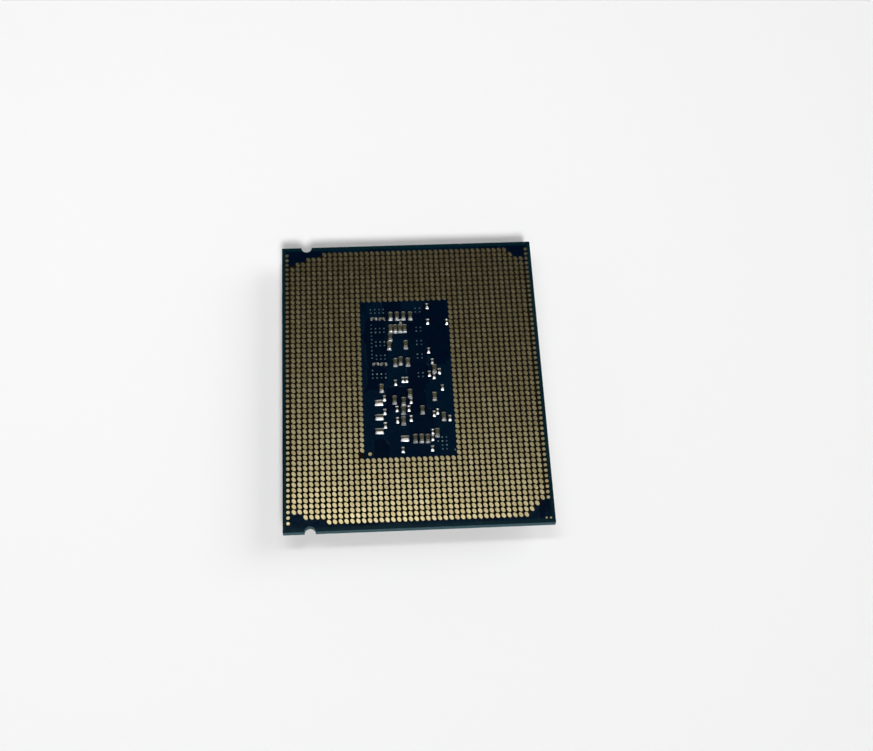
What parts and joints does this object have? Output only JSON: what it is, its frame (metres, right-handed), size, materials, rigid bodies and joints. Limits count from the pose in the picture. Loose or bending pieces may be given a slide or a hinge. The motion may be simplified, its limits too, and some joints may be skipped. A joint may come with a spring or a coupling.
{
  "type": "land grid array processor package",
  "caption": "Flat rectangular processor package: laminated substrate with a grid of gold contact lands and small capacitors on one side, a bonded stepped metal heat spreader on the other.",
  "frame": {"origin": "centre of the heat spreader's flat contact face, which is also the bottom centre of the bounding box", "axes": "+Z from the heat spreader up through the substrate and out of the land side, +Y along the long side towards the end whose land rows run furthest, +X across the short side, with the key notches at negative X"},
  "size_m": [0.0376, 0.045, 0.0049],
  "materials": {
    "core_laminate": "glass-epoxy laminate, sawn edge",
    "copper": "bare copper",
    "buildup_resin": "dark teal resin film",
    "solder_mask": "very dark blue-teal mask, satin to gloss",
    "gold_land": "gold over nickel, fine satin",
    "test_pad": "dull plated dots under thin mask",
    "capacitor_ceramic": "matt fired ceramic",
    "capacitor_terminal": "tin plate, satin",
    "solder": "bright reflowed solder",
    "silicon": "polished die back",
    "underfill_resin": "dark epoxy",
    "thermal_metal": "soft solder, satin",
    "sealant": "black silicone adhesive",
    "nickel_lid": "satin nickel over copper, fine circular polish"
  },
  "bodies": {
    "root": {"substrate_core": "core_laminate", "core_vias": "copper", "lid_side_copper_plane": "copper", "land_side_copper_plane": "copper", "lid_side_buildup": "buildup_resin", "land_side_buildup": "buildup_resin", "lid_side_solder_mask": "solder_mask", "land_side_solder_mask": "solder_mask", "pin_one_mark": "gold_land", "contact_lands_north": "gold_land", "contact_lands_south": "gold_land", "contact_lands_west": "gold_land", "contact_lands_east": "gold_land", "edge_lands_west": "gold_land", "edge_lands_east": "gold_land", "orientation_land": "gold_land", "corner_alignment_dots": "gold_land", "test_pads_west": "test_pad", "test_pads_east": "test_pad", "test_pads_south": "test_pad", "large_capacitor_bodies": "capacitor_ceramic", "large_capacitor_terminals": "capacitor_terminal", "wide_capacitor_bodies": "capacitor_ceramic", "wide_capacitor_terminals": "capacitor_terminal", "small_capacitor_bodies": "capacitor_ceramic", "small_capacitor_terminals": "capacitor_terminal", "capacitor_solder_joints": "solder", "lid_side_capacitor_bodies": "capacitor_ceramic", "lid_side_capacitor_terminals": "capacitor_terminal", "lid_side_capacitor_solder_joints": "solder", "silicon_die": "silicon", "die_solder_bumps": "solder", "die_underfill": "underfill_resin", "thermal_solder": "thermal_metal", "lid_sealant": "sealant", "heat_spreader": "nickel_lid"}
  },
  "joints": []
}
